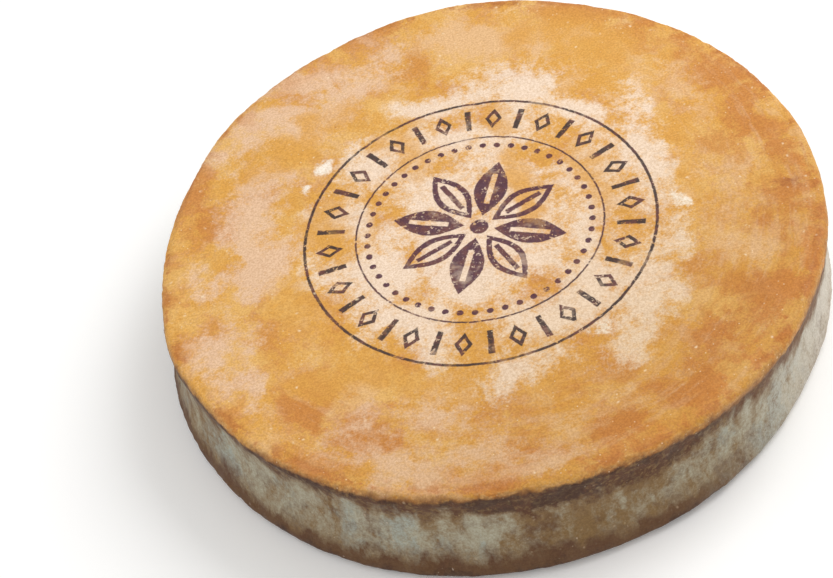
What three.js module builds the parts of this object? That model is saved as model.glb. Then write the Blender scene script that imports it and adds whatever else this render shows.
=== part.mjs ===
// A whole fontina cheese: a low, round wheel that lies on one of its two flat faces.
// Millimetres, +Z up. The origin is on the resting plane, under the middle of the wheel's box.
// The wheel is one solid piece: a lathe profile, then the unevenness of a hand-turned cheese.
import * as THREE from "three";
import { ImprovedNoise } from "three/addons/math/ImprovedNoise.js";
import { mergeVertices } from "three/addons/utils/BufferGeometryUtils.js";

// Driving dimensions
const WHEEL_DIAMETER = 400;
const WHEEL_HEIGHT = 71; // at the upper rim
const RIM_DIFFERENCE = 1.8; // the upper rim's radius is less than the mean by this, the lower rim's more
const UPPER_EDGE_RADIUS = 5; // rounding of the upper rim
const LOWER_EDGE_RADIUS = 8; // rounding of the lower rim
const FACE_CROWN = 1.2; // rise of the upper face from its rim to its middle

// The hoop that shapes the cheese draws in the band of its side, more on one side than on the other
const WAIST_DEPTH = 3.2;
const WAIST_LOBES = [{ lobes: 1, size: 1.5, at: -125 }];

// The fold of rind that runs round just under the upper rim
const FOLD_DROP = 2.5; // below the widest line of the rim
const FOLD_HALF_WIDTH = 2.2;
const FOLD_HEIGHT = 1.1;
const FOLD_MEAN_SHARE = 0.55; // its mean height as a share of the full one
const FOLD_WAVES = 4; // how often it grows and fades round the wheel

// How far each rim departs from a circle: so many lobes, each so high, the first at so many degrees
const UPPER_LOBES = [
  { lobes: 1, size: 2.0, at: 8 },
  { lobes: 2, size: 0.9, at: -80 },
  { lobes: 3, size: 1.8, at: -27 },
  { lobes: 5, size: 0.3, at: 32 },
  { lobes: 6, size: 0.6, at: 13 },
  { lobes: 7, size: 0.5, at: -12 },
];
const LOWER_LOBES = [
  { lobes: 1, size: 1.2, at: -165 },
  { lobes: 2, size: 0.5, at: 62 },
  { lobes: 3, size: 0.2, at: 22 },
  { lobes: 6, size: 0.3, at: -1 },
];

// Low relief: a wavelength, a height and a seed for each scale of unevenness
const FACE_SWELLS = { wavelength: 95, height: 1.1, seed: 3.1 };
const FACE_DIMPLES = { wavelength: 34, height: 0.5, seed: 11.7 };
const SIDE_SWELLS = { wavelength: 62, height: 1.5, seed: 23.4 };
const SIDE_DENTS = { wavelength: 21, height: 0.7, seed: 37.9 };
const RIM_CRAGS = { wavelength: 15, height: 0.6, seed: 51.2 };
const RIM_BAND = 16; // width of the band beside each rim where the crags show
const FOOT_FADE = 7; // the relief fades out in this height above the resting plane

// Steps of the mesh
const STEPS_AROUND = 108;
const FACE_STEPS = 13;
const EDGE_STEPS = 5;
const FOLD_STEPS = 6;
const SIDE_STEPS = 10;
const FOOT_STEPS = 4;

const MEAN_RADIUS = WHEEL_DIAMETER / 2;
const UPPER_RADIUS = MEAN_RADIUS - RIM_DIFFERENCE;
const LOWER_RADIUS = MEAN_RADIUS + RIM_DIFFERENCE;
const UPPER_RIM_Z = WHEEL_HEIGHT - UPPER_EDGE_RADIUS; // the widest line of the upper rim
const LOWER_RIM_Z = LOWER_EDGE_RADIUS;
const FOLD_Z = UPPER_RIM_Z - FOLD_DROP;
const FOLD_END_Z = FOLD_Z - 2 * FOLD_HALF_WIDTH;
const MIDDLE_Z = WHEEL_HEIGHT / 2;

const noise = new ImprovedNoise();

// A smooth rise from 0 to 1 as value goes from low to high.
function rise(value, low, high) {
  return THREE.MathUtils.smoothstep(value, low, high);
}

// The radius of the plain side at a height: straight from rim to rim.
function sideRadius(z) {
  return THREE.MathUtils.mapLinear(z, LOWER_RIM_Z, UPPER_RIM_Z, LOWER_RADIUS, UPPER_RADIUS);
}

// Points on a straight run of heights down the side, without its first point.
function sidePoints(fromZ, toZ, steps) {
  return Array.from({ length: steps }, (_, i) => {
    const z = THREE.MathUtils.lerp(fromZ, toZ, (i + 1) / steps);
    return new THREE.Vector2(sideRadius(z), z);
  });
}

// The rounding of a rim, from one angle to another about its centre, without its first point.
function edgePoints(edgeRadius, centreRadius, centreZ, fromAngle, toAngle) {
  return Array.from({ length: EDGE_STEPS }, (_, i) => {
    const angle = THREE.MathUtils.lerp(fromAngle, toAngle, (i + 1) / EDGE_STEPS);
    return new THREE.Vector2(
      centreRadius + edgeRadius * Math.cos(angle),
      centreZ + edgeRadius * Math.sin(angle),
    );
  });
}

// Half of the wheel's section, from the middle of the upper face to the middle of the foot.
function profilePoints() {
  const faceRadius = UPPER_RADIUS - UPPER_EDGE_RADIUS;
  const footRadius = LOWER_RADIUS - LOWER_EDGE_RADIUS;
  const face = Array.from({ length: FACE_STEPS + 1 }, (_, i) => {
    const share = i / FACE_STEPS;
    return new THREE.Vector2(
      faceRadius * share,
      WHEEL_HEIGHT + FACE_CROWN * (1 - share * share),
    );
  });
  const foot = Array.from({ length: FOOT_STEPS }, (_, i) => {
    return new THREE.Vector2(footRadius * (1 - (i + 1) / FOOT_STEPS), 0);
  });
  return [
    ...face,
    ...edgePoints(UPPER_EDGE_RADIUS, faceRadius, UPPER_RIM_Z, Math.PI / 2, 0),
    ...sidePoints(UPPER_RIM_Z, FOLD_END_Z, FOLD_STEPS),
    ...sidePoints(FOLD_END_Z, LOWER_RIM_Z, SIDE_STEPS),
    ...edgePoints(LOWER_EDGE_RADIUS, footRadius, LOWER_RIM_Z, 0, -Math.PI / 2),
    ...foot,
  ];
}

// How far an outline stands out from its circle at an angle.
function lobedOffset(lobes, angle) {
  return lobes.reduce((sum, lobe) => {
    const turned = angle - THREE.MathUtils.degToRad(lobe.at);
    return sum + lobe.size * Math.cos(lobe.lobes * turned);
  }, 0);
}

// How far the side is drawn in at an angle and a height: most at the waist, nothing at the rims.
function drawnIn(angle, z) {
  const share = THREE.MathUtils.clamp((z - LOWER_RIM_Z) / (UPPER_RIM_Z - LOWER_RIM_Z), 0, 1);
  return (WAIST_DEPTH + lobedOffset(WAIST_LOBES, angle)) * Math.sin(Math.PI * share);
}

// One scale of unevenness at a point.
function waves({ wavelength, height, seed }, point) {
  const { x, y, z } = point.clone().divideScalar(wavelength).addScalar(seed);
  return height * noise.noise(x, y, z);
}

// The height of the fold under the upper rim, which comes and goes round the wheel.
function fold(angle, z) {
  const drop = (z - FOLD_Z) / FOLD_HALF_WIDTH;
  const swing = noise.noise(FOLD_WAVES * Math.cos(angle), FOLD_WAVES * Math.sin(angle), 0.5);
  const share = FOLD_MEAN_SHARE + (1 - FOLD_MEAN_SHARE) * swing;
  return FOLD_HEIGHT * share * Math.exp(-drop * drop);
}

// The height of the relief along the surface's normal at a point of the plain wheel.
function relief(point, normal) {
  const radius = Math.hypot(point.x, point.y);
  const angle = Math.atan2(point.y, point.x);
  const onFace = Math.abs(normal.z);
  const onSide = 1 - onFace;
  const nearEdge = rise(radius, UPPER_RADIUS - RIM_BAND, UPPER_RADIUS - LOWER_EDGE_RADIUS);
  const offWaist = rise(Math.abs(point.z - MIDDLE_Z), MIDDLE_Z / 2, MIDDLE_Z);
  const face = waves(FACE_SWELLS, point) + waves(FACE_DIMPLES, point);
  const side = waves(SIDE_SWELLS, point) + waves(SIDE_DENTS, point) + fold(angle, point.z);
  const crags = waves(RIM_CRAGS, point) * nearEdge * offWaist;
  return face * onFace + side * onSide + crags;
}

// Moves each point of the plain lathe shape to its place on the uneven wheel.
function makeUneven(geometry) {
  const position = geometry.getAttribute("position");
  const normals = geometry.getAttribute("normal");
  const point = new THREE.Vector3();
  const normal = new THREE.Vector3();
  for (let i = 0; i < position.count; i += 1) {
    point.fromBufferAttribute(position, i);
    normal.fromBufferAttribute(normals, i);
    const angle = Math.atan2(point.y, point.x);
    const lower = lobedOffset(LOWER_LOBES, angle);
    const upper = lobedOffset(UPPER_LOBES, angle);
    const lobed = THREE.MathUtils.lerp(lower, upper, rise(point.z, LOWER_RIM_Z, UPPER_RIM_Z));
    const height = relief(point, normal) * rise(point.z, 0, FOOT_FADE);
    const stretch = 1 + (lobed - drawnIn(angle, point.z)) / MEAN_RADIUS;
    point.x *= stretch;
    point.y *= stretch;
    point.addScaledVector(normal, height);
    position.setXYZ(i, point.x, point.y, Math.max(point.z, 0));
  }
}

// The wheel as one closed surface, with the middle of its box over the origin.
function wheelGeometry() {
  const lathe = new THREE.LatheGeometry(profilePoints().reverse(), STEPS_AROUND);
  lathe.rotateX(Math.PI / 2);
  makeUneven(lathe);
  lathe.deleteAttribute("uv");
  lathe.deleteAttribute("normal");
  const wheel = mergeVertices(lathe, 1e-3);
  wheel.computeBoundingBox();
  const middle = wheel.boundingBox.getCenter(new THREE.Vector3());
  wheel.translate(-middle.x, -middle.y, 0);
  wheel.computeVertexNormals();
  return wheel;
}

const rind = new THREE.MeshStandardMaterial({
  color: new THREE.Color(0.78, 0.5, 0.22),
  roughness: 0.8,
  metalness: 0,
});

const wheel = new THREE.Mesh(wheelGeometry(), rind);
wheel.name = "cheese_wheel";

const cheese = new THREE.Group();
cheese.add(wheel);

export default cheese;
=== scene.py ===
"""A whole wheel of fontina cheese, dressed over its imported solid, in metres.

The wheel's fine skin is spun from a plain section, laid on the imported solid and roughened.
Its rind is one procedural material: golden upper face with pale bloom, an ink stamp of plain
ornaments, and a brown side under grey-white bloom.
"""

from __future__ import annotations

import functools
import logging
import math
from collections.abc import Sequence
from dataclasses import dataclass
from enum import Enum
from typing import TypeAlias

import bmesh
import bpy
from mathutils import Matrix, Vector, noise
from mathutils.bvhtree import BVHTree

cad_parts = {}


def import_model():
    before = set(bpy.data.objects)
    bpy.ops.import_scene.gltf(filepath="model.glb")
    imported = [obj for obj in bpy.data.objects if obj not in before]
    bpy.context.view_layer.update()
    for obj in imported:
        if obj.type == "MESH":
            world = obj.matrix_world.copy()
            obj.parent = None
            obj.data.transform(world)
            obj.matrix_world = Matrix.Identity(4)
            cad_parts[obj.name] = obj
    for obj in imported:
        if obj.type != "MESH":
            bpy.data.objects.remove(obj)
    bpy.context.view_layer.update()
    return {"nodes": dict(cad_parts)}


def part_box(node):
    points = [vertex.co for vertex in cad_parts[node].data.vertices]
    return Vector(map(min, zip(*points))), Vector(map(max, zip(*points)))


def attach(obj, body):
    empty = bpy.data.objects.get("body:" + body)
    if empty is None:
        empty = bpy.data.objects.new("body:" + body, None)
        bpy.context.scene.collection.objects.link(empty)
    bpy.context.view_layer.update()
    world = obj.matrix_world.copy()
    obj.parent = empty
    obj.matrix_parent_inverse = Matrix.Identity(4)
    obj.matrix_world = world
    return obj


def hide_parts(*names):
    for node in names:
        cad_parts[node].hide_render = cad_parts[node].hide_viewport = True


log = logging.getLogger("fontina")

MM = 0.001
NODE = "cheese_wheel"
# The rims' mean radius is less than half of the wheel's box by this
BOX_MARGIN = 1.8 * MM

# Angles round the wheel, in degrees, where the lower edge of the upper face's gold falls and climbs
GOLD_FALLS = (-95.0, -50.0)
GOLD_CLIMBS = (110.0, 170.0)

# Angles where painted light makes the side bright and nearly white, and where it dims and yellows
SIDE_BRIGHTENS = (-76.0, -18.0)
SIDE_WHITENS = (-60.0, -20.0)
SIDE_DIMS = (110.0, 60.0)
SIDE_YELLOWS = (100.0, 60.0)

# Where the gold turns to the side's colours, as millimetres of way down from its lower edge
ONTO_SIDE = (-1.8, 2.6)
# Where the side's colours turn to the foot's, as millimetres of way down from the upper rim
ONTO_FOOT = (68.0, 74.0)

# In each pair that follows, a colour is absent at the first number and whole at the second.
# These are distances from the wheel's axis and towards its near side, in millimetres.
AMBER_OUTWARD = (100.0, 190.0)
BRUSHED_OUTWARD = (110.0, 165.0)
BRUSHED_NEARER = (-120.0, 130.0)
# Painted shade: the upper face is darkened towards its near side
SHADED_NEARER = (-20.0, 230.0)

# These are millimetres of way down from the upper rim
UPPER_FACE_ENDS = (30.0, 10.0)
AMBER_BEGINS = (-30.0, -8.0)

# These are millimetres of way down from the gold's lower edge
# Painted shade in the crease inside the lip
CREASE_BEGINS = (-13.0, -9.5)
CREASE_ENDS = (-5.5, -8.5)
LIP_BEGINS = (-7.0, -3.5)
# Painted shade where the gold darkens towards its lower edge
RIM_EDGE_SHADE_BEGINS = (-7.5, 0.0)
RIM_EDGE_SHADE_ENDS = (60.0, 40.0)

# These are the side's own, as millimetres of way down from the upper rim
# Painted shadow under the upper rim, partly real browning: its darkest streaks and its band
RIM_SHADOW_STREAKS_ENDS = (12.0, 3.0)
SHADE_ENDS = (17.0, 4.0)
BLOOM_BEGINS = (3.0, 22.0)
BLOOM_ENDS = (54.0, 38.0)
# Painted shade low on the side's shaded half
LOW_SHADE_BEGINS = (40.0, 54.0)
TAN_BEGINS = (44.0, 58.0)
# Painted shade at the foot of the side's shaded half
FOOT_SHADE_BEGINS = (56.0, 68.0)

# The range that cloudy noise seldom leaves
CLOUDS_LOW = 0.3
CLOUDS_HIGH = 0.7

Colour = tuple[float, float, float, float]
Number: TypeAlias = "float | Value"
Shade: TypeAlias = "Colour | Value"
Inputs: TypeAlias = "Sequence[object] | dict[int | str, object]"


def display(red: int, green: int, blue: int) -> Colour:
    """Turns a colour as a screen shows it, 0 to 255, into the linear one of a shader.

    Args:
        red: Red, 0 to 255.
        green: Green, 0 to 255.
        blue: Blue, 0 to 255.

    Returns:
        The linear colour with full alpha.
    """
    channels = [value / 255 for value in (red, green, blue)]
    linear = [((c + 0.055) / 1.055) ** 2.4 if c > 0.04045 else c / 12.92 for c in channels]
    return (*linear, 1.0)


def smooth(value: float, low: float, high: float) -> float:
    """A smooth rise from 0 where value is low to 1 where it is high."""
    share = min(max((value - low) / (high - low), 0.0), 1.0)
    return share * share * (3 - 2 * share)


class Wave(Enum):
    """The kinds of unevenness that a scale of relief can have."""

    SWELL = "swell"
    CRUMB = "crumb"
    PIT = "pit"


@dataclass(frozen=True)
class Relief:
    """One scale of relief, in millimetres.

    Attributes:
        wavelength: Distance from one high place to the next.
        height: The most that it lifts or lowers the surface.
        seed: Moves the pattern away from those of the other scales.
        wave: The kind of unevenness.
    """

    wavelength: float
    height: float
    seed: float
    wave: Wave = Wave.SWELL

    def at(self, place: Vector) -> float:
        """The lift at a place on the wheel.

        Args:
            place: The place, in metres.

        Returns:
            The lift in metres.
        """
        spot = place / (self.wavelength * MM) + Vector((self.seed,) * 3)
        if self.wave is Wave.SWELL:
            return self.height * MM * noise.noise(spot)
        if self.wave is Wave.CRUMB:
            return self.height * MM * noise.fractal(spot, 0.7, 2.1, 3)
        depth = smooth(noise.noise(spot), 0.25, 0.6)
        return -self.height * MM * depth


@dataclass
class WheelSkin:
    """The fine skin of the wheel: a spun section, laid on the solid and roughened.

    Attributes:
        radius: The wheel's mean radius, in metres.
        rim_height: The height of the upper face at its rim.
        upper_edge: Rounding of the upper rim.
        lower_edge: Rounding of the lower rim.
        steps_around: Steps of the spin.
        fold_length: Length of side under the upper rim with fine rings.
        lip_height: How far the crumbly lip of the upper rim stands out.
        lip_share: Its mean height as a share of that.
        lip_waves: The distance over which it comes and goes.
        lip_way: Where it runs, as millimetres of way down from the rim's widest line.
        lip_rise: How much higher it runs on the half where the gold ends higher.
        lip_width: Its half width, in millimetres.
        crease_off: The distance of the crease inside it, as a share of that.
        rim_from: Where the rim's own relief begins, in millimetres of way down.
        rim_to: Where it ends.
        side_from: Where the face's relief turns to the side's.
        foot_from: Where the rim's relief begins again above the foot.
        foot_fade: The height above the resting plane in which all relief fades out.
        face_relief: The scales of relief on both faces.
        rim_relief: The scales that come on top of the others at the rims.
        side_relief: The scales of relief on the side.
    """

    radius: float
    rim_height: float = 71 * MM
    upper_edge: float = 5 * MM
    lower_edge: float = 8 * MM
    steps_around: int = 640
    fold_length: float = 12 * MM
    lip_height: float = 0.6 * MM
    lip_share: float = 0.65
    lip_waves: float = 38 * MM
    lip_way: float = -1.5
    lip_rise: float = 4.5
    lip_width: float = 2.4
    crease_off: float = 2.8
    rim_from: tuple[float, float] = (-14, -6)
    rim_to: tuple[float, float] = (5, 12)
    side_from: tuple[float, float] = (-2, 6)
    foot_from: tuple[float, float] = (46, 54)
    foot_fade: float = 6 * MM
    face_relief: tuple[Relief, ...] = (
        Relief(17, 0.28, 4.3),
        Relief(5.5, 0.14, 9.1, Wave.CRUMB),
        Relief(7, 0.3, 15.2, Wave.PIT),
    )
    rim_relief: tuple[Relief, ...] = (
        Relief(9, 0.3, 21.7),
        Relief(3.4, 0.24, 28.4, Wave.CRUMB),
        Relief(5, 0.3, 33.9, Wave.PIT),
    )
    side_relief: tuple[Relief, ...] = (
        Relief(14, 0.4, 41.3),
        Relief(5, 0.25, 47.8, Wave.CRUMB),
        Relief(8, 0.5, 53.6, Wave.PIT),
    )

    def section(self) -> list[Vector]:
        """The plain section, from the middle of the upper face round to the middle of the foot.

        Returns:
            Points in the XZ plane. The first and the last lie on the axis.
        """
        top = self.rim_height
        face = self.radius - self.upper_edge
        foot = self.radius - self.lower_edge
        rim = top - self.upper_edge
        points = [Vector((0, 0, top))]
        self.run(points, Vector((20 * MM, 0, top)), 10 * MM)
        self.run(points, Vector((face - 40 * MM, 0, top)), 4 * MM)
        self.run(points, Vector((face - 12 * MM, 0, top)), 2.4 * MM)
        self.run(points, Vector((face, 0, top)), 1.2 * MM)
        self.bend(points, Vector((face, 0, rim)), self.upper_edge, (90, 0), 10)
        self.run(points, Vector((self.radius, 0, rim - self.fold_length)), 0.8 * MM)
        self.run(points, Vector((self.radius, 0, self.lower_edge)), 1.5 * MM)
        self.bend(points, Vector((foot, 0, self.lower_edge)), self.lower_edge, (0, -90), 12)
        self.run(points, Vector((foot - 12 * MM, 0, 0)), 2.4 * MM)
        self.run(points, Vector((0, 0, 0)), 13 * MM)
        return points

    @staticmethod
    def run(points: list[Vector], end: Vector, step: float) -> None:
        """Adds a straight run of points, in place.

        Args:
            points: The points so far.
            end: The last point of the run.
            step: The greatest distance between points.
        """
        start = points[-1]
        count = max(1, round((end - start).length / step))
        points.extend(start.lerp(end, (i + 1) / count) for i in range(count))

    @staticmethod
    def bend(
        points: list[Vector], centre: Vector, radius: float, angles: tuple[int, int], count: int
    ) -> None:
        """Adds the rounding of a rim, in place.

        Args:
            points: The points so far.
            centre: The centre of the rounding.
            radius: Its radius.
            angles: The angles that it starts and ends at, in degrees.
            count: The number of points.
        """
        first, last = angles
        for i in range(count):
            angle = math.radians(first + (last - first) * (i + 1) / count)
            points.append(centre + Vector((math.cos(angle), 0, math.sin(angle))) * radius)

    def build(self, node: bpy.types.Object) -> bpy.types.Object:
        """Builds the skin as an object of its own.

        Args:
            node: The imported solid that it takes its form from.

        Returns:
            The finished object, with its marks for the rind's material.
        """
        bm = bmesh.new()
        self.spin(bm)
        drop = self.measure_drop(bm)
        self.lay_on(bm, solid_form(node))
        self.roughen(bm, drop)
        skin = mesh_object("wheel_rind", bm)
        for polygon in skin.data.polygons:
            polygon.use_smooth = True
        return skin

    def spin(self, bm: bmesh.types.BMesh) -> None:
        """Spins the section about the wheel's axis.

        Args:
            bm: The mesh that receives it.
        """
        verts = [bm.verts.new(point) for point in self.section()]
        edges = [bm.edges.new(pair) for pair in zip(verts, verts[1:])]
        bmesh.ops.spin(
            bm,
            geom=verts + edges,
            cent=(0, 0, 0),
            axis=(0, 0, 1),
            angle=2 * math.pi,
            steps=self.steps_around,
            use_merge=True,
        )
        bmesh.ops.remove_doubles(bm, verts=bm.verts, dist=0.001 * MM)
        bmesh.ops.recalc_face_normals(bm, faces=bm.faces)

    def measure_drop(self, bm: bmesh.types.BMesh) -> bmesh.types.BMLayerItem:
        """Marks each point with its way down the section from the upper rim's widest line.

        The mark is in millimetres: below 0 on the rounding and the upper face, above 0 on the side
        and further on the foot.

        Args:
            bm: The plain spun mesh.

        Returns:
            The layer that holds the mark.
        """
        layer = bm.verts.layers.float.new("drop")
        face = self.radius - self.upper_edge
        foot = self.radius - self.lower_edge
        rim = self.rim_height - self.upper_edge
        side = rim - self.lower_edge
        for vert in bm.verts:
            reach = math.hypot(vert.co.x, vert.co.y)
            above = vert.co.z - rim
            below = self.lower_edge - vert.co.z
            if above > 0:
                turn = math.atan2(above, max(reach - face, 0.0))
                way = -self.upper_edge * turn - max(face - reach, 0.0)
            elif below > 0:
                turn = math.atan2(below, max(reach - foot, 0.0))
                way = side + self.lower_edge * turn + max(foot - reach, 0.0)
            else:
                way = -above
            vert[layer] = way / MM
        return layer

    @staticmethod
    def lay_on(bm: bmesh.types.BMesh, form: BVHTree) -> None:
        """Moves each point to the nearest place on the solid's smooth form.

        Args:
            bm: The plain spun mesh.
            form: The solid's smooth form.
        """
        for vert in bm.verts:
            vert.co = form.find_nearest(vert.co)[0]
        bmesh.ops.smooth_vert(bm, verts=bm.verts, factor=0.5, use_axis_x=True, use_axis_y=True)
        bm.normal_update()

    def roughen(self, bm: bmesh.types.BMesh, drop: bmesh.types.BMLayerItem) -> None:
        """Lifts and lowers the points by the fine relief, and keeps the foot on its plane.

        Args:
            bm: The mesh, laid on the solid's form.
            drop: The layer with each point's way down from the upper rim.
        """
        lifts = [self.lift(vert.co, vert[drop]) for vert in bm.verts]
        for vert, lift in zip(bm.verts, lifts):
            vert.co += vert.normal * lift * smooth(vert.co.z, 0, self.foot_fade)
            vert.co.z = max(vert.co.z, 0.0)
        bm.normal_update()

    def lift(self, place: Vector, way: float) -> float:
        """The fine relief at a place.

        Args:
            place: The place, in metres.
            way: Its way down from the upper rim, in millimetres.

        Returns:
            The lift in metres.
        """
        at_rim = smooth(way, *self.rim_from) * (1 - smooth(way, *self.rim_to))
        at_rim += smooth(way, *self.foot_from)
        on_side = smooth(way, *self.side_from)
        on_rim = min(at_rim, 1.0)
        shares = (
            (self.face_relief, 1 - on_side),
            (self.side_relief, on_side),
            (self.rim_relief, on_rim),
        )
        total = self.lip(place, way) if on_rim > 0 else 0.0
        for reliefs, share in shares:
            if share > 0:
                total += sum(relief.at(place) for relief in reliefs) * share
        return total

    def lip(self, place: Vector, way: float) -> float:
        """The thin lip along the upper rim and the crease inside it, which come and go.

        Args:
            place: The place, in metres.
            way: Its way down from the upper rim, in millimetres.

        Returns:
            The lift in metres.
        """
        angle = math.degrees(math.atan2(place.y, place.x))
        lower = smooth(angle, *GOLD_FALLS) * (1 - smooth(angle, *GOLD_CLIMBS))
        off = (way - self.lip_way + self.lip_rise * (1 - lower)) / self.lip_width
        share = self.lip_share + noise.noise(place / self.lip_waves)
        crease = math.exp(-((off + self.crease_off) ** 2))
        return self.lip_height * share * (math.exp(-off * off) - crease)


def in_scene(data: bpy.types.ID) -> bpy.types.Object:
    """A new object of the scene that shows the data and has its name."""
    thing = bpy.data.objects.new(data.name, data)
    bpy.context.scene.collection.objects.link(thing)
    return thing


def mesh_object(name: str, bm: bmesh.types.BMesh) -> bpy.types.Object:
    """A new object of the scene with a mesh.

    Args:
        name: The name of both.
        bm: The mesh's content, which is freed.

    Returns:
        The object.
    """
    mesh = bpy.data.meshes.new(name)
    bm.to_mesh(mesh)
    bm.free()
    return in_scene(mesh)


def solid_form(node: bpy.types.Object) -> BVHTree:
    """A smooth copy of the solid's surface to lay a skin on.

    Args:
        node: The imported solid.

    Returns:
        The search tree of the smooth copy.
    """
    bm = bmesh.new()
    bm.from_mesh(node.data)
    bmesh.ops.remove_doubles(bm, verts=bm.verts, dist=0.005 * MM)
    bmesh.ops.join_triangles(
        bm,
        faces=bm.faces,
        angle_face_threshold=math.radians(35),
        angle_shape_threshold=math.radians(60),
    )
    copy = mesh_object("form", bm)
    mesh = copy.data
    finer = copy.modifiers.new("finer", "SUBSURF")
    finer.levels = 2
    finer.render_levels = 2
    tree = BVHTree.FromObject(copy, bpy.context.evaluated_depsgraph_get())
    bpy.data.objects.remove(copy)
    bpy.data.meshes.remove(mesh)
    return tree


@dataclass(frozen=True)
class Value:
    """A number, a vector or a colour that the material works out.

    It has plain arithmetic for numbers. A vector is a place in millimetres, from which noise and
    spots are read.

    Attributes:
        bench: Where its nodes go.
        socket: The output that gives it.
    """

    bench: Bench
    socket: bpy.types.NodeSocket

    def __add__(self, other: Number) -> Value:
        """The sum of two numbers."""
        return self.bench.math("ADD", self, other)

    def __sub__(self, other: Number) -> Value:
        """This number less another."""
        return self.bench.math("SUBTRACT", self, other)

    def __rsub__(self, other: Number) -> Value:
        """A plain number less this one."""
        return self.bench.math("SUBTRACT", other, self)

    def __mul__(self, other: Number) -> Value:
        """The product of two numbers."""
        return self.bench.math("MULTIPLY", self, other)

    def __truediv__(self, other: Number) -> Value:
        """This number divided by another."""
        return self.bench.math("DIVIDE", self, other)

    def __abs__(self) -> Value:
        """This number without its sign."""
        return self.bench.math("ABSOLUTE", self)

    def scaled(self, factor: float) -> Value:
        """A vector times a number."""
        return self.bench.add("VectorMath", {0: self, "Scale": factor}, operation="SCALE")

    def length(self) -> Value:
        """The length of a vector."""
        return self.bench.add("VectorMath", [self], "Value", operation="LENGTH")

    def parts(self) -> tuple[Value, ...]:
        """The three numbers of a vector."""
        node = self.bench.node("SeparateXYZ", [self])
        return tuple(Value(self.bench, output) for output in node.outputs)

    def rise(self, low: float, high: float, top: float = 1.0) -> Value:
        """A smooth rise from 0 at low to top at high. It falls where high is under low.

        Args:
            low: Where the result is 0.
            high: Where the result is top.
            top: The greatest result.

        Returns:
            The result.
        """
        inputs = {
            "Value": self,
            "From Min": min(low, high),
            "From Max": max(low, high),
            "To Min": 0.0 if low < high else top,
            "To Max": top if low < high else 0.0,
        }
        return self.bench.add("MapRange", inputs, interpolation_type="SMOOTHSTEP")

    def under(self, limit: float, soft: float, top: float = 1.0) -> Value:
        """The greatest result, top, well under a limit, and 0 well over it."""
        return self.rise(limit + soft, limit - soft, top)

    def clouds(
        self, size: float, detail: float = 2.0, rough: float = 0.5, output: str = "Fac"
    ) -> Value:
        """Cloudy noise, about 0.5 on average: Fac is one number, Color three."""
        inputs = {"Vector": self, "Scale": 1 / size, "Detail": detail, "Roughness": rough}
        return self.bench.add("TexNoise", inputs, output)

    def swing(
        self, size: float, detail: float = 8.0, shift: float = 0.0, rough: float = 0.68
    ) -> Value:
        """Rough, cloudy noise about 0 that seldom goes beyond -1 or 1."""
        moved = self.bench.vector("ADD", self, Vector((shift, -shift, shift))) if shift else self
        return (moved.clouds(size, detail, rough) - 0.5) * 8.0

    def stirred(self, size: float, amount: float) -> Value:
        """A place moved about at random, so that what is drawn there has uneven borders.

        Args:
            size: The size of the wobbles.
            amount: The most that a point moves, roughly.

        Returns:
            The moved place.
        """
        colour = self.clouds(size, output="Color")
        centred = self.bench.vector("SUBTRACT", colour, Vector((0.5, 0.5, 0.5)))
        return self.bench.vector("ADD", self, centred.scaled(amount * 2))

    def spots(self, size: float, reach: float) -> Value:
        """Small round spots, one in each cell, most of them faint.

        Args:
            size: The size of a cell.
            reach: The radius of a spot, as a share of the cell.

        Returns:
            A share from 0 to 1.
        """
        cells = self.bench.node("TexVoronoi", {"Vector": self, "Scale": 1 / size})
        near = Value(self.bench, cells.outputs["Distance"]).rise(reach, 0.0)
        pick = Value(self.bench, cells.outputs["Color"]).parts()[0]
        return near * pick.rise(0.5, 0.95)


class Bench:
    """Adds nodes to a material's tree and joins them."""

    def __init__(self, tree: bpy.types.NodeTree) -> None:
        """Starts on a tree, which it empties."""
        self.tree = tree
        tree.nodes.clear()

    def node(self, kind: str, inputs: Inputs = (), **settings: object) -> bpy.types.Node:
        """Adds a node.

        Args:
            kind: The node's type without its common start.
            inputs: What its inputs take, in their order, or by their names or numbers.
            settings: Properties to set on it.

        Returns:
            The new node.
        """
        node = self.tree.nodes.new("ShaderNode" + kind)
        for name, value in settings.items():
            setattr(node, name, value)
        pairs = inputs.items() if isinstance(inputs, dict) else enumerate(inputs)
        for name, value in pairs:
            if isinstance(value, Value):
                self.tree.links.new(value.socket, node.inputs[name])
            else:
                node.inputs[name].default_value = value
        return node

    def add(
        self, kind: str, inputs: Inputs = (), output: int | str = 0, **settings: object
    ) -> Value:
        """Adds a node and gives one of its outputs, chosen by its name or number."""
        return Value(self, self.node(kind, inputs, **settings).outputs[output])

    def math(self, operation: str, *values: Number, clamp: bool = False) -> Value:
        """One step of arithmetic. With clamp the result is kept from 0 to 1."""
        return self.add("Math", values, operation=operation, use_clamp=clamp)

    def vector(self, operation: str, *values: Value | Vector) -> Value:
        """One step of vector arithmetic."""
        return self.add("VectorMath", values, operation=operation)

    def joined(self, x: Number, y: Number, z: Number = 0.0) -> Value:
        """A vector from its three numbers."""
        return self.add("CombineXYZ", (x, y, z))

    def mix(self, share: Number, first: Shade, second: Shade, blend: str = "MIX") -> Value:
        """A mix of two colours: the first where share is 0, the second where it is 1."""
        inputs = {0: share, 6: first, 7: second}
        return self.add("Mix", inputs, 2, data_type="RGBA", blend_type=blend)

    def most(self, *values: Value) -> Value:
        """The greatest of several numbers."""
        return functools.reduce(functools.partial(self.math, "MAXIMUM"), values)


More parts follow.
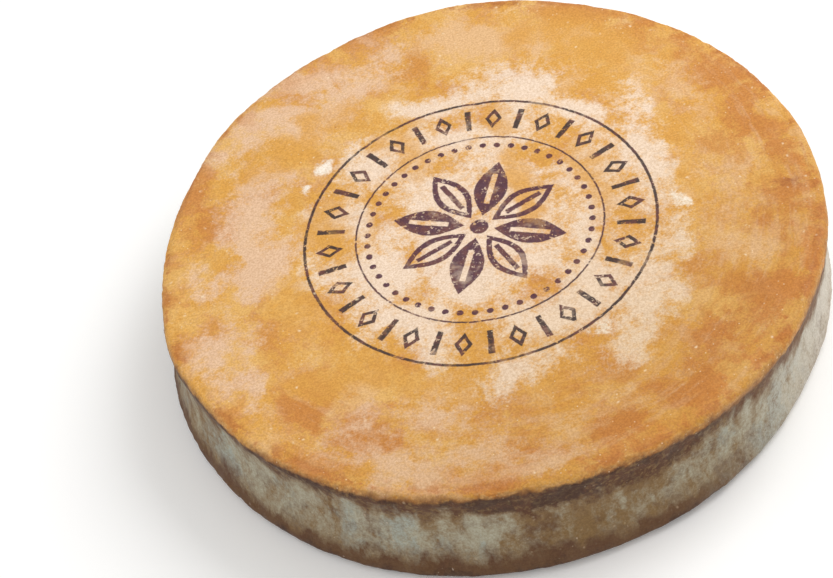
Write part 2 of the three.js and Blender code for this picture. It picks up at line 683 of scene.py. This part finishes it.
@dataclass(frozen=True)
class Patch:
    """A soft oval patch on the upper face, in millimetres from the wheel's axis.

    Attributes:
        x: Its middle along X.
        y: Its middle along Y.
        length: Half its length.
        width: Half its width.
        turn: The angle of its length to X, in degrees.
        strength: How strong it is in its middle.
        edge: How much of it is border, from 0 for a crisp one to 1.
    """

    x: float
    y: float
    length: float
    width: float
    turn: float = 0.0
    strength: float = 1.0
    edge: float = 1.3

    def mask(self, place: Value) -> Value:
        """The patch as a share from 0 to its strength.

        Args:
            place: The place on the face, in millimetres.

        Returns:
            The share.
        """
        inputs = {
            "Vector": place,
            "Location": (self.x, self.y, 0),
            "Rotation": (0, 0, math.radians(self.turn)),
            "Scale": (self.length, self.width, 1000),
        }
        reach = place.bench.add("Mapping", inputs, vector_type="TEXTURE").length()
        return reach.under(1.0, self.edge / 2, self.strength)


@dataclass(frozen=True)
class SidePatch:
    """A soft patch on the side: its place round the wheel and up it.

    Attributes:
        angle: Its middle round the wheel from +X, in degrees.
        z: The height of its middle, in millimetres.
        half_angle: Half its width, in degrees.
        half_height: Half its height, in millimetres.
        strength: How strong it is in its middle.
    """

    angle: float
    z: float
    half_angle: float
    half_height: float
    strength: float = 1.0

    def mask(self, angle: Value, z: Value) -> Value:
        """The patch as a share from 0 to its strength.

        Args:
            angle: The angle round the wheel, in degrees.
            z: The height, in millimetres.

        Returns:
            The share.
        """
        across = (angle - self.angle) / self.half_angle
        up = (z - self.z) / self.half_height
        reach = angle.bench.joined(across, up).length()
        return reach.rise(1.4, 0.5, self.strength)


@dataclass(frozen=True)
class Stamp:
    """An ink stamp of plain ornaments in the middle of the upper face, in millimetres.

    Attributes:
        ring: Radius of the thin outer ring.
        ring_width: Width of the thin ring.
        band: Radius of the middle of the band of bars and lozenges.
        band_height: Their length, from the axis outwards.
        marks: How many bars and lozenges there are together.
        petals: How many petals the rosette has.
        petal_root: Distance of the petals' inner points from the axis.
        petal_tip: Distance of the petals' outer points from the axis.
        petal_width: Half the greatest width of a petal.
        dots: Radius of the circle of dots.
        dot_count: How many dots there are.
        dot_radius: Radius of a dot.
        thin_ring: Radius of the thin ring between the dots and the band.
        thin_width: Width of that ring.
        heart: Radius of the dot in the middle of the rosette.
        petal_line: Width of the outline of a petal.
        petal_inset: Distance of that line's middle from the petal's border.
        vein_width: Width of the line in the middle of a petal.
        vein_gap: Distance of that line's ends from the petal's points.
        vein_taper: Length over which its ends fade.
        bar_width: Width of a bar.
        lozenge_width: Half the width that a lozenge as tall as the band would have.
        lozenge_share: A lozenge's size as a share of that.
        lozenge_line: Half the width of a lozenge's outline.
        ink_change: Distances from the axis where the rosette's ink turns to the ring's.
        wobble_size: The size of the unevenness of all lines.
        wobble: How far it moves them.
        soft: Half the width of a line's soft border.
        soft_end: Half the width of the soft border of a bar's end, a filled petal and the heart.
        soft_dot: Half the width of a dot's soft border.
    """

    ring: float = 105.0
    ring_width: float = 1.9
    band: float = 90.0
    band_height: float = 17.0
    marks: int = 36
    petals: int = 8
    petal_root: float = 9.0
    petal_tip: float = 53.0
    petal_width: float = 10.0
    dots: float = 67.0
    dot_count: int = 48
    dot_radius: float = 2.0
    thin_ring: float = 74.0
    thin_width: float = 1.2
    heart: float = 5.6
    petal_line: float = 3.8
    petal_inset: float = 1.8
    vein_width: float = 3.4
    vein_gap: float = 9.4
    vein_taper: float = 1.0
    bar_width: float = 3.6
    lozenge_width: float = 5.4
    lozenge_share: float = 0.75
    lozenge_line: float = 1.35
    ink_change: tuple[float, float] = (66.0, 80.0)
    wobble_size: float = 3.0
    wobble: float = 0.45
    soft: float = 0.35
    soft_end: float = 0.4
    soft_dot: float = 0.3

    def stroke(self, away: Number, half_width: float) -> Value:
        """A line of ink where away, the distance from the line's middle, is small."""
        return abs(away).under(half_width, self.soft)

    def cell(self, turn: Value, radius: float, count: int) -> tuple[Value, Value]:
        """The place inside one of several equal parts of a circle.

        Args:
            turn: The angle round the wheel, in turns.
            radius: The radius that the distance is measured at.
            count: How many parts there are.

        Returns:
            The distance from the part's middle, along the circle, and 1 in every second part.
        """
        bench = turn.bench
        parts = (turn + 1.0) * count
        across = bench.math("FRACT", parts) - 0.5
        width = 2 * math.pi * radius / count
        return across * width, bench.math("MODULO", bench.math("FLOOR", parts), 2.0)

    def band_marks(self, reach: Value, turn: Value) -> Value:
        """The bars and lozenges between the rosette and the ring.

        Args:
            reach: The distance from the axis.
            turn: The angle in turns.

        Returns:
            The share of ink.
        """
        across, odd = self.cell(turn, self.band, self.marks)
        along = reach - self.band
        half = self.band_height / 2
        inside = abs(along).under(half, self.soft_end)
        bar = self.stroke(across, self.bar_width / 2) * inside
        sideways = abs(across / self.lozenge_width)
        slant = sideways + abs(along / half)
        outline = (slant - self.lozenge_share) * self.lozenge_width
        lozenge = self.stroke(outline, self.lozenge_line) * odd
        return bar * (1.0 - odd) + lozenge

    def rosette(self, reach: Value, turn: Value) -> Value:
        """The rosette in the middle: outlined and filled petals by turns, round a dot.

        Args:
            reach: The distance from the axis.
            turn: The angle in turns.

        Returns:
            The share of ink.
        """
        bench = reach.bench
        angle, odd = self.cell(turn, 1.0, self.petals)
        along = reach * bench.math("COSINE", angle)
        across = reach * bench.math("SINE", angle)
        span = self.petal_tip - self.petal_root
        share = (along - self.petal_root) / span
        swell = bench.math("SINE", share * math.pi)
        half = swell * self.petal_width
        border = abs(across) - half
        middle = (self.petal_root + self.petal_tip) / 2
        from_middle = abs(along - middle)
        inside = from_middle.rise(span / 2 + 3 * self.soft_end, span / 2 + self.soft_end)
        inset = border + self.petal_inset
        outline = self.stroke(inset, self.petal_line / 2)
        vein_end = span / 2 - self.vein_gap
        vein_reach = from_middle.rise(vein_end, vein_end - self.vein_taper)
        vein = self.stroke(across, self.vein_width / 2) * vein_reach
        body = border.under(0.0, self.soft_end)
        filled = bench.math("SUBTRACT", body, vein, clamp=True)
        hollow = bench.most(outline, vein)
        more = (filled - hollow) * odd
        petals = (hollow + more) * inside
        dot = reach.under(self.heart, self.soft_end)
        return bench.most(petals, dot)

    def dotted_circle(self, reach: Value, turn: Value) -> Value:
        """The circle of dots round the rosette and the thin ring outside it.

        Args:
            reach: The distance from the axis.
            turn: The angle in turns.

        Returns:
            The share of ink.
        """
        bench = reach.bench
        across, _ = self.cell(turn, self.dots, self.dot_count)
        along = reach - self.dots
        away = bench.joined(across, along).length()
        dot = away.under(self.dot_radius, self.soft_dot)
        from_line = reach - self.thin_ring
        line = self.stroke(from_line, self.thin_width / 2)
        return bench.most(dot, line)

    def ink(self, place: Value) -> Value:
        """All of the stamp's ink, before wear.

        Args:
            place: The place on the face, in millimetres.

        Returns:
            The share of ink.
        """
        bench = place.bench
        x, y, _ = place.stirred(self.wobble_size, self.wobble).parts()
        reach = bench.joined(x, y).length()
        turn = bench.math("ARCTAN2", y, x) / (2 * math.pi)
        ring = self.stroke(reach - self.ring, self.ring_width / 2)
        marks, dots = self.band_marks(reach, turn), self.dotted_circle(reach, turn)
        return bench.most(ring, marks, self.rosette(reach, turn), dots)


@dataclass(frozen=True)
class Rind:
    """The finish of the whole wheel.

    Attributes:
        golden: The upper face's main colour.
        straw: Its lighter yellow clouds.
        cream: The pale area round the stamp.
        apricot: Pale clouds all over the upper face.
        blush: Pinkish bloom on the upper face.
        amber: Deeper orange towards the rim.
        umber: The darkest stains, and the painted shade in the crease inside the lip.
        rim_edge_shade: Painted shade: the gold darkened towards its lower edge.
        dark_brown_and_shade: Dark brown of the side's clouds and of its painted shade.
        side_tan_and_rim_shade: The painted rim shade on the side's lit half, and its tan near the
            foot.
        deep_shade: Near black brown of painted shade, under the upper rim and at the foot.
        side_brown: The side's brown.
        side_bloom: The side's grey bloom.
        side_mist: Its cooler places.
        lit_side_bloom: Real bloom painted nearly white on the side's lit half, as painted light.
        chalk: The few white spots of mould.
        lip: The pale crumbly edge.
        speck: Tiny pale grains.
        ring_ink: The ink of the ring and the band.
        heart_ink: The ink of the rosette.
        dry_ink: Ink that has faded to brown.
        painted_near_shade: Painted shade: what the face's colour is multiplied by at its near side.
        grain_dark: What the colour is multiplied by in the hollows of the grain.
        grain_light: What it is multiplied by on its high places.
        grain_depth: The depth of the grain's bump, in metres.
        gold_line: Where the gold ends, as millimetres of way down from the upper rim.
        gold_step: How much lower it ends on the lower half, in millimetres.
        gold_rags: How ragged that line is, in millimetres.
        face_clouds: Size and shift of the three layers of clouds on the face, in millimetres.
        cloud_rough: How strong their finer scales are.
        brush_around: The radius that the brushed strokes are stretched round, in millimetres.
        brush_outward: How much closer together they are outwards.
        side_specks: How strong the specks on the side are, as a share of those on the face.
        shine: How strongly the rind mirrors the light.
        oily: Its roughness where it is smoothest.
        dry: Its roughness where it is roughest.
        stamp: The ink stamp.
        cream_patches: Where the cream shows.
        chalk_patches: Where the spots of mould are.
        blush_patches: Where the pinkish bloom is.
        apricot_patches: Where the pale clouds are strongest.
        golden_patches: Where the main colour shows through the cream.
        amber_patches: Where the deeper orange is strongest.
        umber_patches: Where the stains are.
        bloom_patches: Where the side's bloom is thick.
        bare_patches: Where the side has no bloom and its painted rim shade reaches lower.
    """

    golden: Colour = display(221, 163, 74)
    straw: Colour = display(229, 181, 104)
    cream: Colour = display(242, 220, 199)
    apricot: Colour = display(230, 188, 140)
    blush: Colour = display(231, 195, 163)
    amber: Colour = display(203, 133, 60)
    umber: Colour = display(170, 98, 44)
    rim_edge_shade: Colour = display(138, 88, 40)
    dark_brown_and_shade: Colour = display(92, 58, 36)
    side_tan_and_rim_shade: Colour = display(116, 76, 42)
    deep_shade: Colour = display(58, 36, 26)
    side_brown: Colour = display(132, 103, 62)
    side_bloom: Colour = display(178, 174, 154)
    side_mist: Colour = display(168, 174, 164)
    lit_side_bloom: Colour = display(214, 208, 196)
    chalk: Colour = display(252, 243, 230)
    lip: Colour = display(218, 172, 108)
    speck: Colour = display(250, 226, 188)
    ring_ink: Colour = display(54, 38, 40)
    heart_ink: Colour = display(78, 36, 60)
    dry_ink: Colour = display(108, 60, 58)
    painted_near_shade: Colour = (0.84, 0.79, 0.66, 1.0)
    grain_dark: Colour = (0.82, 0.76, 0.68, 1.0)
    grain_light: Colour = (1.09, 1.09, 1.09, 1.0)
    grain_depth: float = 0.6 * MM
    gold_line: float = -2.5
    gold_step: float = 6.5
    gold_rags: float = 1.6
    face_clouds: tuple[tuple[float, float], ...] = ((34.0, 0.0), (26.0, 310.0), (32.0, 570.0))
    cloud_rough: float = 0.52
    brush_around: float = 95.0
    brush_outward: float = 2.6
    side_specks: float = 0.3
    shine: float = 0.35
    oily: float = 0.52
    dry: float = 0.78
    stamp: Stamp = Stamp()

    cream_patches: tuple[Patch, ...] = (
        Patch(0, 0, 104, 102, 0, 0.85, 0.35),
        Patch(4, -4, 66, 60),
        Patch(24, 106, 52, 24, 0, 0.95),
        Patch(6, 52, 26, 56, 0, 0.8),
        Patch(99, 12, 18, 70),
        Patch(76, 64, 20, 36, 20),
        Patch(68, -78, 42, 26, 40, 1.1),
        Patch(30, -116, 58, 12, 6, 0.85),
        Patch(-16, -56, 46, 40, 0, 0.7),
    )
    chalk_patches: tuple[Patch, ...] = (
        Patch(-87, 78, 5, 5, 0, 1.2),
        Patch(-100, 66, 3, 3),
        Patch(118, -16, 5, 9, 0, 0.8, 1.2),
        Patch(58, -98, 9, 5, 30, 0.8, 1.2),
    )
    blush_patches: tuple[Patch, ...] = (
        Patch(-92, 142, 60, 32, 36, 1.05),
        Patch(-132, 42, 20, 70, -4, 1.05),
        Patch(-52, -152, 46, 26, -16),
        Patch(-14, -180, 40, 10, 2, 0.9),
        Patch(-160, -40, 16, 50, 12, 0.7),
    )
    apricot_patches: tuple[Patch, ...] = (
        Patch(26, 156, 54, 24, -8, 0.95),
        Patch(122, 84, 28, 22, -40, 0.8),
        Patch(142, -50, 20, 30, -20, 0.7),
        Patch(60, -150, 50, 12, 14, 0.4),
        Patch(150, 8, 16, 26, 0, 0.6),
    )
    golden_patches: tuple[Patch, ...] = (
        Patch(-100, 106, 36, 15, 30),
        Patch(-36, 72, 17, 28, -10, 0.95),
        Patch(30, 28, 7, 54, 3, 0.9),
        Patch(72, 22, 13, 30, 0, 0.9),
        Patch(-84, 20, 19, 24, 0, 0.8),
        Patch(92, 138, 48, 20, -32, 0.9),
        Patch(-72, -106, 44, 12, -20, 0.8),
        Patch(-116, -16, 10, 40, 10, 0.6),
    )
    amber_patches: tuple[Patch, ...] = (
        Patch(178, -40, 18, 46, -12),
        Patch(136, -112, 42, 16, 42, 0.9),
        Patch(-92, -128, 40, 18, -38, 0.8),
        Patch(46, -168, 54, 12, 14, 0.9),
        Patch(142, 116, 36, 13, -46),
        Patch(166, 56, 16, 44, 18, 0.9),
        Patch(-160, 70, 12, 40, 20, 0.6),
    )
    umber_patches: tuple[Patch, ...] = (
        Patch(184, -18, 10, 6, 0, 1.2),
        Patch(50, 192, 14, 5, -12, 0.7),
    )
    bloom_patches: tuple[SidePatch, ...] = (
        SidePatch(-101, 36, 4, 26, 0.8),
        SidePatch(-116, 32, 9, 28, 0.8),
        SidePatch(-140, 38, 13, 26, 0.7),
        SidePatch(150, 34, 16, 28, 0.8),
    )
    bare_patches: tuple[SidePatch, ...] = (
        SidePatch(-86, 40, 10, 24, 0.8),
        SidePatch(-71, 50, 9, 16, 0.9),
        SidePatch(-90, 58, 12, 9, 1.3),
    )

    def material(self) -> bpy.types.Material:
        """The rind as a material.

        Returns:
            The material.
        """
        material = bpy.data.materials.new("rind")
        material.use_nodes = True
        bench = Bench(material.node_tree)
        place = bench.add("TexCoord", output="Object").scaled(1 / MM)
        drop = bench.add("Attribute", output="Fac", attribute_name="drop")
        below = self.below_gold(place, drop)
        face = self.face_colour(place, drop, below)
        side = self.side_colour(place, drop)
        on_side = below.rise(*ONTO_SIDE)
        on_foot = drop.rise(*ONTO_FOOT)
        colour = bench.mix(bench.math("SUBTRACT", on_side, on_foot, clamp=True), face, side)
        inputs = {
            "Base Color": self.speckled(place, on_side, colour),
            "Roughness": self.roughness(place),
            "Normal": self.grain(place),
            "Specular IOR Level": self.shine,
            "Subsurface Weight": 0.0,
        }
        bench.node("OutputMaterial", {"Surface": bench.add("BsdfPrincipled", inputs)})
        return material

    @staticmethod
    def bearing(place: Value) -> Value:
        """The angle round the wheel from +X, in degrees, from -180 to 180."""
        x, y, _ = place.parts()
        return place.bench.math("ARCTAN2", y, x) * (180 / math.pi)

    def below_gold(self, place: Value, drop: Value) -> Value:
        """The way down from the ragged line where the upper face's gold ends.

        The line runs lower on one half of the wheel.

        Args:
            place: The place, in millimetres.
            drop: The way down from the upper rim, in millimetres.

        Returns:
            The way in millimetres, below 0 on the gold.
        """
        angle = self.bearing(place)
        lower = angle.rise(*GOLD_FALLS) * angle.rise(*reversed(GOLD_CLIMBS))
        line = lower * self.gold_step + self.gold_line
        ragged = drop + place.swing(8.0, 4.0) * self.gold_rags
        return ragged - line

    def face_colour(self, place: Value, drop: Value, below: Value) -> Value:
        """The colour of the faces and the rims, with painted shade on the near side and the rim.

        Args:
            place: The place, in millimetres.
            drop: The way down from the upper rim, in millimetres.
            below: The way down from the gold's lower edge, in millimetres.

        Returns:
            The colour.
        """
        bench = place.bench
        x, y, _ = place.parts()
        flat = bench.joined(x, y)
        loose = place.stirred(40.0, 14.0).stirred(11.0, 5.0)
        reach = flat.length()
        turn = bench.math("ARCTAN2", y, x)
        across, up = (bench.math(name, turn) * self.brush_around for name in ("COSINE", "SINE"))
        strokes = bench.joined(across, up, reach * self.brush_outward).swing(22.0, 4.0)
        grain = place.swing(1.6, 2.0) * 0.26 + place.swing(6.0, 3.0) * 0.42
        first, second, third = (
            loose.swing(size, shift=shift, rough=self.cloud_rough) + grain
            for size, shift in self.face_clouds
        )
        upper = drop.rise(*UPPER_FACE_ENDS)

        colour = bench.mix(first.rise(-1.0, 1.2), self.golden, self.straw)
        outward = reach.rise(*AMBER_OUTWARD, 0.45)
        colour = bench.mix((second + outward).rise(0.0, 1.5, 0.65), colour, self.amber)
        colour = bench.mix(third.rise(-0.1, 1.3, 0.5), colour, self.apricot)
        for tone, patches, texture, strength in (
            (self.amber, self.amber_patches, second, 0.85),
            (self.apricot, self.apricot_patches, third, 0.8),
            (self.blush, self.blush_patches, third, 0.88),
            (self.cream, self.cream_patches, first, 0.93),
            (self.golden, self.golden_patches, second, 0.85),
            (self.chalk, self.chalk_patches, first, 0.95),
            (self.umber, self.umber_patches, third, 0.8),
        ):
            mask = bench.most(*(patch.mask(loose) for patch in patches)) * upper
            share = mask * 1.35 + texture * 0.8
            gate = mask.rise(0.02, 0.2)
            cover = gate * share.rise(0.05, 1.75, strength)
            colour = bench.mix(cover, colour, tone)
        near = x * 0.6 - y
        along = reach.rise(*BRUSHED_OUTWARD) * near.rise(*BRUSHED_NEARER)
        colour = bench.mix(along * strokes.rise(0.0, 1.0, 0.34), colour, self.amber)
        colour = bench.mix(along * strokes.rise(-0.1, -1.1, 0.3), colour, self.blush)
        # Painted shade: the upper face darkened towards its near side
        colour = bench.mix(near.rise(*SHADED_NEARER), colour, self.painted_near_shade, "MULTIPLY")
        rim = drop.rise(*AMBER_BEGINS, 0.5)
        colour = bench.mix(rim * second.rise(-0.6, 0.6), colour, self.amber)
        # Painted shade: the crease inside the lip darkened with umber
        crease = below.rise(*CREASE_BEGINS) * below.rise(*CREASE_ENDS)
        colour = bench.mix(crease * second.rise(-0.8, 0.6, 0.4), colour, self.umber)
        lip = below.rise(*LIP_BEGINS, 0.8)
        crumbs = place.clouds(3.2, 3, 0.7).rise(0.42, 0.6)
        colour = bench.mix(lip * crumbs, colour, self.lip)
        # Painted shade: the gold darkened towards its lower edge, where the rim rounds away
        rim_edge_shade = below.rise(*RIM_EDGE_SHADE_BEGINS) * below.rise(*RIM_EDGE_SHADE_ENDS)
        colour = bench.mix(rim_edge_shade * third.rise(-1.2, 0.6, 0.85), colour, self.rim_edge_shade)
        return self.stamped(flat, upper, colour)

    def stamped(self, place: Value, upper: Value, colour: Value) -> Value:
        """The face's colour with the worn stamp on it.

        Args:
            place: The place on the face, in millimetres.
            upper: 1 on the upper face, 0 on the foot.
            colour: The colour under the ink.

        Returns:
            The colour with the ink.
        """
        bench = place.bench
        ink = self.stamp.ink(place)
        outer = place.length().rise(*self.stamp.ink_change)
        tone = bench.mix(outer, self.heart_ink, self.ring_ink)
        tone = bench.mix(place.swing(9.0, 4.0).rise(-0.4, 0.8, 0.8), tone, self.dry_ink)
        pores = place.stirred(2.0, 0.6).spots(2.4, 0.36)
        fade = place.swing(17.0, 3.0, 90.0).rise(0.2, 1.4, 0.35)
        broken = place.swing(3.2, 3.0, 40.0).rise(0.7, 1.2, 0.7)
        lost = bench.most(fade, broken, pores * 0.65)
        share = bench.math("SUBTRACT", ink, lost, clamp=True) * upper
        return bench.mix(share * 0.96, colour, tone)

    def side_colour(self, place: Value, drop: Value) -> Value:
        """The colour of the side, with painted light and shade.

        Args:
            place: The place, in millimetres.
            drop: The way down from the upper rim, in millimetres.

        Returns:
            The colour.
        """
        bench = place.bench
        loose = place.stirred(16.0, 5.0)
        x, y, z = loose.parts()
        angle = self.bearing(loose)
        upright = bench.joined(x, y, z * 0.4)
        streaks = upright.swing(10.0)
        clouds = place.swing(26.0, shift=210.0)
        fine = place.swing(3.0, 3.0)
        pale = bench.most(*(patch.mask(angle, z) for patch in self.bloom_patches))
        bare = bench.most(*(patch.mask(angle, z) for patch in self.bare_patches))
        # Painted light and shade: the side's lit half and shaded half, by the angle round the wheel
        lit_half = angle.rise(*SIDE_BRIGHTENS) * angle.rise(*SIDE_DIMS)
        lit_paler = angle.rise(*SIDE_WHITENS) * angle.rise(*SIDE_YELLOWS)
        shaded_half = lit_half.rise(0.7, 0.0)
        depth = drop + streaks * 5.0 + clouds * 4.0

        # Painted light: the bloom covers more of the lit half, down to the foot
        sole = bench.most(depth.rise(*BLOOM_ENDS), lit_half.rise(0.0, 0.5))
        # Painted rim shade and the bloom begin lower on the lit half and on bare patches
        veil = depth - bench.most(lit_half, bare) * 12.0
        belly = veil.rise(*BLOOM_BEGINS) * sole
        share = (pale - bare) * 0.55 + lit_half * 0.85 + streaks * 0.5 + fine * 0.22
        cover = share.rise(-0.75, 1.0, 0.92) * belly

        colour = bench.mix(clouds.rise(-0.2, 0.9, 0.7), self.side_brown, self.dark_brown_and_shade)
        # Painted shadow under the upper rim, partly real browning: dark, and tan on the lit half
        shade = veil.rise(*SHADE_ENDS) * fine.rise(-1.6, 0.4)
        colour = bench.mix(shade, colour, bench.mix(lit_half, self.dark_brown_and_shade, self.side_tan_and_rim_shade))
        # Painted shadow: the darkest streaks just under the upper rim, on the shaded half
        rim_shadow_streaks = veil.rise(*RIM_SHADOW_STREAKS_ENDS) * streaks.rise(-0.5, 0.5, 0.6)
        colour = bench.mix(rim_shadow_streaks * shaded_half, colour, self.deep_shade)
        # Painted shade: darker low on the side's shaded half
        low = depth.rise(*LOW_SHADE_BEGINS, 0.75) * shaded_half
        colour = bench.mix(low, colour, self.dark_brown_and_shade)
        cool = upright.swing(30.0, shift=430.0).rise(0.1, 0.8)
        # Painted light: the bloom painted nearly white on the lit half
        bloom = bench.mix(lit_paler, bench.mix(cool, self.side_bloom, self.side_mist), self.lit_side_bloom)
        colour = bench.mix(cover, colour, bloom)
        colour = bench.mix(depth.rise(*TAN_BEGINS, 0.15) * lit_half, colour, self.side_tan_and_rim_shade)
        # Painted shade: darkest at the foot of the side's shaded half
        deep_shade = depth.rise(*FOOT_SHADE_BEGINS, 0.75) * shaded_half
        colour = bench.mix(deep_shade, colour, self.deep_shade)
        pits = place.spots(7.0, 0.16) * 0.85
        colour = bench.mix(pits, colour, self.side_brown)
        fibres = bench.joined(x, y, z * 0.45).spots(5.0, 0.13)
        return bench.mix(fibres * 0.6, colour, self.cream)

    def speckled(self, place: Value, on_side: Value, colour: Value) -> Value:
        """A colour with the rind's fine grain and tiny pale specks.

        Args:
            place: The place, in millimetres.
            on_side: 0 on the upper face, 1 on the side, where the specks are fainter.
            colour: The colour without them.

        Returns:
            The colour with them.
        """
        bench = place.bench
        grain = place.clouds(1.25, 2, 0.7).rise(CLOUDS_LOW, CLOUDS_HIGH)
        shade = bench.mix(grain, self.grain_dark, self.grain_light)
        colour = bench.mix(0.9, colour, shade, "MULTIPLY")
        dark = place.stirred(12.0, 9.0).spots(8.0, 0.09)
        colour = bench.mix(dark * 0.7, colour, self.umber)
        specks = bench.most(place.stirred(4.0, 1.5).spots(6.0, 0.22), place.spots(2.8, 0.24))
        clusters = place.swing(18.0, 4.0, 150.0).rise(-0.7, 0.7, 0.85)
        clusters = clusters * (on_side.rise(1.0, 0.0, 1 - self.side_specks) + self.side_specks)
        return bench.mix(specks * clusters, colour, self.speck)

    def roughness(self, place: Value) -> Value:
        """The rind's roughness, a little oily in places.

        Args:
            place: The place, in millimetres.

        Returns:
            The roughness.
        """
        inputs = {
            "Value": place.clouds(12, 4, 0.6),
            "From Min": CLOUDS_LOW,
            "From Max": CLOUDS_HIGH,
            "To Min": self.oily,
            "To Max": self.dry,
        }
        return place.bench.add("MapRange", inputs)

    def grain(self, place: Value) -> Value:
        """The rind's fine grain as a bump.

        Args:
            place: The place, in millimetres.

        Returns:
            The bumped normal.
        """
        coarse = place.clouds(3.6, 4, 0.65)
        fine = place.clouds(1.1, 2, 0.6)
        height = coarse + fine * 0.45
        inputs = {"Strength": 0.5, "Distance": self.grain_depth, "Height": height}
        return place.bench.add("Bump", inputs)


@dataclass
class Studio:
    """The floor, the lights and the camera.

    Attributes:
        distance: From the middle of the wheel's upper rim to the camera, in metres.
        elevation: The camera's height above the horizon, in degrees.
        aim: Where the middle of the picture falls on the plane of the upper rim, in metres.
        middle: The middle of the wheel's upper rim, in metres.
        roll: How far the camera is turned about its own line of sight, in degrees.
        lens: The focal length, in millimetres.
        film: The width of the film, in millimetres.
        floor_size: Half the length of the floor's sides, in metres.
    """

    distance: float = 1.3953
    elevation: float = 46.16
    aim: tuple[float, float, float] = (-0.0434, -0.0355, 0.0697)
    middle: tuple[float, float, float] = (0.0013, 0.0003, 0.0697)
    roll: float = -14.86
    lens: float = 102.21
    film: float = 36.0
    floor_size: float = 6.0

    def build(self) -> None:
        """Sets up everything that isn't the object."""
        self.lay_floor()
        self.set_lights()
        self.set_camera()

    def lay_floor(self) -> None:
        """A large plain floor at the height that the wheel rests on."""
        bm = bmesh.new()
        bmesh.ops.create_grid(bm, x_segments=1, y_segments=1, size=self.floor_size)
        floor = mesh_object("floor", bm)
        material = bpy.data.materials.new("floor")
        material.use_nodes = True
        finish = {
            "Base Color": display(252, 252, 251),
            "Roughness": 0.9,
            "Emission Color": (1.0, 1.0, 1.0, 1.0),
            "Emission Strength": 0.08,
        }
        for name, value in finish.items():
            material.node_tree.nodes["Principled BSDF"].inputs[name].default_value = value
        floor.data.materials.append(material)

    def set_lights(self) -> None:
        """A pale sky and two large soft lamps."""
        world = bpy.data.worlds.new("studio")
        world.use_nodes = True
        background = world.node_tree.nodes["Background"]
        background.inputs["Color"].default_value = display(252, 251, 250)
        background.inputs["Strength"].default_value = 0.68
        bpy.context.scene.world = world
        self.lamp("key", Vector((1.3, 0.7, 1.7)), 1.4, 26.0)
        self.lamp("fill", Vector((-1.2, -0.4, 1.9)), 1.6, 5.0)
        bpy.context.scene.view_settings.view_transform = "Standard"

    @staticmethod
    def lamp(name: str, place: Vector, size: float, watts: float) -> None:
        """Adds a soft square lamp that faces the wheel.

        Args:
            name: Its name.
            place: Where it stands, in metres.
            size: Its side, in metres.
            watts: Its power.
        """
        data = bpy.data.lights.new(name, "AREA")
        data.size = size
        data.energy = watts
        lamp = in_scene(data)
        lamp.location = place
        lamp.rotation_euler = (-place).to_track_quat("-Z", "Y").to_euler()

    def set_camera(self) -> None:
        """The camera, above the near side and rolled a little to the left."""
        angle = math.radians(self.elevation)
        away = Vector((0, -math.cos(angle), math.sin(angle)))
        place = Vector(self.middle) + away * self.distance
        sight = (Vector(self.aim) - place).normalized()
        level = sight.cross(Vector((0, 0, 1))).normalized()
        upright = level.cross(sight)
        roll = math.radians(self.roll)
        right = level * math.cos(roll) + upright * math.sin(roll)
        up = upright * math.cos(roll) - level * math.sin(roll)
        data = bpy.data.cameras.new("camera")
        data.lens = self.lens
        data.sensor_fit = "HORIZONTAL"
        data.sensor_width = self.film
        camera = in_scene(data)
        turn = Matrix((right, up, -sight)).transposed().to_4x4()
        camera.matrix_world = Matrix.Translation(place) @ turn
        bpy.context.scene.camera = camera


def main() -> None:
    """Loads the frame, dresses the wheel and sets up the studio."""
    logging.basicConfig(level=logging.INFO, format="%(name)s: %(message)s")
    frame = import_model()
    low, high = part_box(NODE)
    skin = WheelSkin((high[0] - low[0]) / 2 - BOX_MARGIN).build(frame["nodes"][NODE])
    skin.data.materials.append(Rind().material())
    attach(skin, "root")
    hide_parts(NODE)
    log.info("%s: %d faces", skin.name, len(skin.data.polygons))
    Studio().build()


if __name__ == "__main__":
    main()
